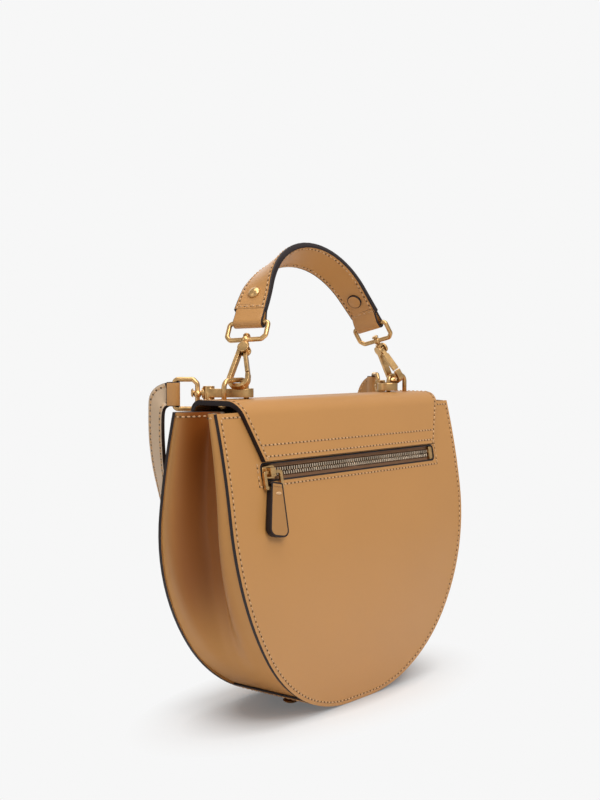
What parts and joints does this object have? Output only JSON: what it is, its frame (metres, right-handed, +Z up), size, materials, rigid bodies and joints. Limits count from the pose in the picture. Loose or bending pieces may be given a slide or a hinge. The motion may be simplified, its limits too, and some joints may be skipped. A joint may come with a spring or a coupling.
{
  "type": "saddle_handbag",
  "caption": "Tan leather saddle handbag with a zip pocket in the back, a top flap, a short clip-on handle and a clip-on shoulder strap",
  "frame": {"origin": "on the floor under the middle of the base", "axes": "+X along the bag, +Y toward the back with the zip, +Z up"},
  "size_m": [0.22, 0.0833, 0.2654],
  "materials": {
    "tan_leather": "smooth satin",
    "antique_brass": "brushed antique",
    "lining": "plain weave",
    "zip_tape": "woven tape",
    "board": "raw",
    "magnet": "plated"
  },
  "bodies": {
    "bag": {"back_lining": "lining", "back_panel": "tan_leather", "base_board": "board", "base_panel": "tan_leather", "base_studs": "antique_brass", "flap_back": "tan_leather", "front_lining": "lining", "front_magnet": "magnet", "front_panel": "tan_leather", "gusset": "tan_leather", "gusset_lining": "lining", "zip_pouch": "lining", "zip_stops": "antique_brass", "zip_tape_lower": "zip_tape", "zip_tape_upper": "zip_tape", "zip_teeth_lower": "antique_brass", "zip_teeth_upper": "antique_brass"},
    "flap": {"flap": "tan_leather", "flap_magnet": "magnet", "arch_left": "antique_brass", "arch_right": "antique_brass", "arch_screws": "antique_brass", "shoulder_strap": "tan_leather", "strap_hook_left": "antique_brass", "strap_hook_right": "antique_brass", "strap_ring_left": "antique_brass", "strap_ring_right": "antique_brass", "strap_tab_left": "tan_leather", "strap_tab_right": "tan_leather"},
    "handle": {"handle_strap": "tan_leather", "handle_rivets": "antique_brass", "handle_caps": "tan_leather", "handle_hook_left": "antique_brass", "handle_hook_right": "antique_brass", "handle_ring_left": "antique_brass", "handle_ring_right": "antique_brass"},
    "zip_slider": {"zip_slider": "antique_brass"},
    "zip_pull": {"zip_pull_wire": "antique_brass", "zip_pull_tab": "tan_leather"},
    "handle_gate_left": {"handle_gate_left": "antique_brass"},
    "handle_gate_right": {"handle_gate_right": "antique_brass"},
    "strap_gate_left": {"strap_gate_left": "antique_brass"},
    "strap_gate_right": {"strap_gate_right": "antique_brass"}
  },
  "joints": [
    {"name": "flap_open", "type": "hinge", "parent": "bag", "child": "flap", "pos_m": [0, 0.02053, 0.16631], "axis": [-1, 0, 0], "range_deg": [0, 95]},
    {"name": "handle_fold", "type": "hinge", "parent": "flap", "child": "handle", "pos_m": [0, -0.001, 0.188], "axis": [-1, 0, 0], "range_deg": [-25, 20]},
    {"name": "zip_slide", "type": "slide", "parent": "bag", "child": "zip_slider", "axis": [-1, 0, 0], "range_m": [0, 0.148]},
    {"name": "zip_pull_swing", "type": "hinge", "parent": "zip_slider", "child": "zip_pull", "pos_m": [0.0775, 0.02491, 0.13932], "axis": [1, 0, 0], "range_deg": [0, 110]},
    {"name": "handle_gate_left_swing", "type": "hinge", "parent": "handle", "child": "handle_gate_left", "pos_m": [0.0653, -0.00489, 0.20486], "axis": [-0.8002, -0.3161, -0.5096], "range_deg": [0, 14], "stiffness_Nm_per_rad": 0.02, "springref_deg": -11.46},
    {"name": "handle_gate_right_swing", "type": "hinge", "parent": "handle", "child": "handle_gate_right", "pos_m": [-0.0653, -0.00489, 0.20486], "axis": [-0.8297, 0.234, 0.5068], "range_deg": [0, 14], "stiffness_Nm_per_rad": 0.02, "springref_deg": -11.46},
    {"name": "strap_gate_left_swing", "type": "hinge", "parent": "flap", "child": "strap_gate_left", "pos_m": [0.08131, -0.01686, 0.18015], "axis": [0, 0, -1], "range_deg": [0, 14], "stiffness_Nm_per_rad": 0.02, "springref_deg": -11.46},
    {"name": "strap_gate_right_swing", "type": "hinge", "parent": "flap", "child": "strap_gate_right", "pos_m": [-0.08131, -0.01686, 0.18015], "axis": [0, 0, 1], "range_deg": [0, 14], "stiffness_Nm_per_rad": 0.02, "springref_deg": -11.46}
  ]
}
